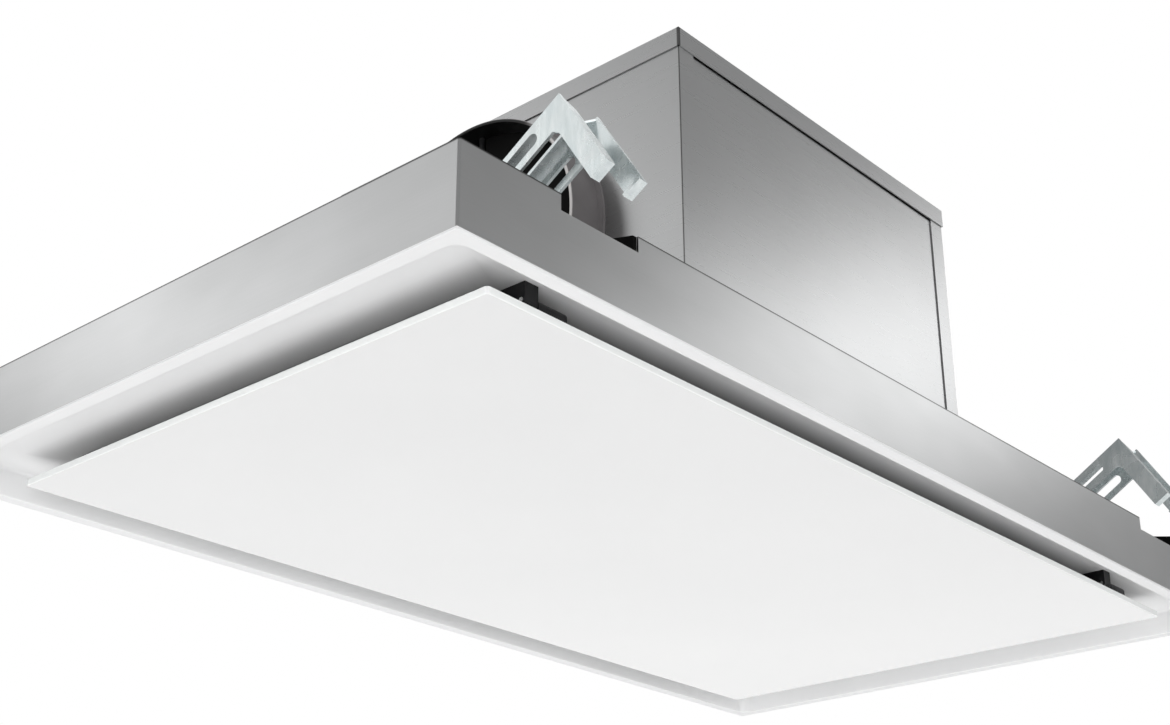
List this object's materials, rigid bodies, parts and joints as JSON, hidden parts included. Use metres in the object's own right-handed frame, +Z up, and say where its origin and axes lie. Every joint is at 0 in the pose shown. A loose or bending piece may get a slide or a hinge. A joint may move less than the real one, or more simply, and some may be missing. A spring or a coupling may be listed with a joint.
{
  "type": "ceiling range hood",
  "caption": "Flush ceiling range hood: hinged glass panel in a recessed white rim, steel casing with swing-out ceiling clamps, motor box with blower and a round side outlet.",
  "frame": {"origin": "middle of the underside: the lower face of the rim and of the glass panel lie in z = 0", "axes": "+X along the long side, away from the duct outlet; +Y along the short side, away from the panel hinges; +Z up, into the ceiling void"},
  "size_m": [0.9, 0.526, 0.299],
  "materials": {
    "alu": "mill-finish aluminium",
    "alu_cast": "die-cast aluminium",
    "black_plastic": "black moulded plastic, fine texture",
    "bright_steel": "bright plated steel",
    "brushed": "brushed stainless sheet",
    "diffuser": "opal light diffuser",
    "galvanised": "galvanised sheet, satin",
    "green_board": "glass-fibre circuit board, green lacquer",
    "grey_plastic": "grey moulded plastic",
    "white_glass": "white back-enamelled glass, polished edge",
    "white_paint": "white powder coat, satin",
    "zinc": "bright zinc plate"
  },
  "bodies": {
    "casing": {"blower_scroll": "galvanised", "box_front_panel": "brushed", "box_lid": "brushed", "cable_gland": "black_plastic", "casing_screws": "zinc", "casing_wall": "galvanised", "catch_sockets": "black_plastic", "circuit_board": "green_board", "clamp_bases": "galvanised", "clamp_guides": "black_plastic", "deck_plate": "galvanised", "electronics_cover": "grey_plastic", "electronics_tray": "grey_plastic", "filter_carrier": "galvanised", "filter_mesh_left": "alu", "filter_mesh_middle": "alu", "filter_mesh_right": "alu", "filter_rails": "alu", "filter_rim_left": "alu", "filter_rim_middle": "alu", "filter_rim_right": "alu", "flap_pin": "bright_steel", "guide_studs": "zinc", "hinge_blocks": "black_plastic", "hinge_pins": "bright_steel", "light_bars": "alu", "light_lenses": "diffuser", "motor": "alu_cast", "motor_box": "brushed", "motor_spider": "galvanised", "outlet_adapter": "galvanised", "outlet_collar": "black_plastic", "plenum_wall": "galvanised", "shaft_bearings": "bright_steel", "trim_frame": "white_paint"},
    "panel": {"glass_panel": "white_glass", "panel_carrier": "alu", "hinge_arms": "black_plastic", "catch_studs": "bright_steel"},
    "latch_left": {"filter_latch_left": "black_plastic"},
    "latch_middle": {"filter_latch_middle": "black_plastic"},
    "latch_right": {"filter_latch_right": "black_plastic"},
    "outlet_flap_near": {"flap_near": "black_plastic"},
    "outlet_flap_far": {"flap_far": "black_plastic"},
    "rotor": {"impeller": "galvanised", "impeller_blades": "galvanised", "impeller_rings": "galvanised", "motor_shaft": "bright_steel"},
    "clamp_pivot_near_left": {"clamp_bolt_near_left": "zinc", "clamp_nut_near_left": "zinc"},
    "clamp_near_left": {"clamp_arm_near_left": "zinc"},
    "clamp_pivot_near_right": {"clamp_bolt_near_right": "zinc", "clamp_nut_near_right": "zinc"},
    "clamp_near_right": {"clamp_arm_near_right": "zinc"},
    "clamp_pivot_far_right": {"clamp_bolt_far_right": "zinc", "clamp_nut_far_right": "zinc"},
    "clamp_far_right": {"clamp_arm_far_right": "zinc"},
    "clamp_pivot_far_left": {"clamp_bolt_far_left": "zinc", "clamp_nut_far_left": "zinc"},
    "clamp_far_left": {"clamp_arm_far_left": "zinc"}
  },
  "joints": [
    {"name": "panel_hinge", "type": "hinge", "parent": "casing", "child": "panel", "pos_m": [0, -0.2074, 0.0096], "axis": [-1, 0, 0], "range_deg": [0, 88]},
    {"name": "impeller_spin", "type": "hinge", "parent": "casing", "child": "rotor", "pos_m": [0.03, 0, 0.16], "axis": [0, 1, 0], "continuous": true},
    {"name": "outlet_flap_near_hinge", "type": "hinge", "parent": "casing", "child": "outlet_flap_near", "pos_m": [-0.184, 0, 0.177], "axis": [0, 0, -1], "range_deg": [0, 75], "stiffness_Nm_per_rad": 0.02, "springref_deg": -17.19},
    {"name": "outlet_flap_far_hinge", "type": "hinge", "parent": "casing", "child": "outlet_flap_far", "pos_m": [-0.184, 0, 0.177], "axis": [0, 0, 1], "range_deg": [0, 75], "stiffness_Nm_per_rad": 0.02, "springref_deg": -17.19},
    {"name": "latch_left_slide", "type": "slide", "parent": "casing", "child": "latch_left", "axis": [0, 1, 0], "range_m": [0, 0.0048], "stiffness_N_per_m": 300, "springref_m": -0.004},
    {"name": "latch_middle_slide", "type": "slide", "parent": "casing", "child": "latch_middle", "axis": [0, 1, 0], "range_m": [0, 0.0048], "stiffness_N_per_m": 300, "springref_m": -0.004},
    {"name": "latch_right_slide", "type": "slide", "parent": "casing", "child": "latch_right", "axis": [0, 1, 0], "range_m": [0, 0.0048], "stiffness_N_per_m": 300, "springref_m": -0.004},
    {"name": "clamp_near_left_swing", "type": "hinge", "parent": "casing", "child": "clamp_pivot_near_left", "pos_m": [-0.3375, -0.16166, 0.08012], "axis": [1, 0, 0], "range_deg": [-58, 6]},
    {"name": "clamp_near_left_slide", "type": "slide", "parent": "clamp_pivot_near_left", "child": "clamp_near_left", "axis": [0, 0.8526, -0.5225], "range_m": [0, 0.02]},
    {"name": "clamp_near_right_swing", "type": "hinge", "parent": "casing", "child": "clamp_pivot_near_right", "pos_m": [0.3375, -0.16166, 0.08012], "axis": [1, 0, 0], "range_deg": [-58, 6]},
    {"name": "clamp_near_right_slide", "type": "slide", "parent": "clamp_pivot_near_right", "child": "clamp_near_right", "axis": [0, 0.8526, -0.5225], "range_m": [0, 0.02]},
    {"name": "clamp_far_right_swing", "type": "hinge", "parent": "casing", "child": "clamp_pivot_far_right", "pos_m": [0.3375, 0.16166, 0.08012], "axis": [-1, 0, 0], "range_deg": [-58, 6]},
    {"name": "clamp_far_right_slide", "type": "slide", "parent": "clamp_pivot_far_right", "child": "clamp_far_right", "axis": [0, -0.8526, -0.5225], "range_m": [0, 0.02]},
    {"name": "clamp_far_left_swing", "type": "hinge", "parent": "casing", "child": "clamp_pivot_far_left", "pos_m": [-0.3375, 0.16166, 0.08012], "axis": [-1, 0, 0], "range_deg": [-58, 6]},
    {"name": "clamp_far_left_slide", "type": "slide", "parent": "clamp_pivot_far_left", "child": "clamp_far_left", "axis": [0, -0.8526, -0.5225], "range_m": [0, 0.02]}
  ]
}
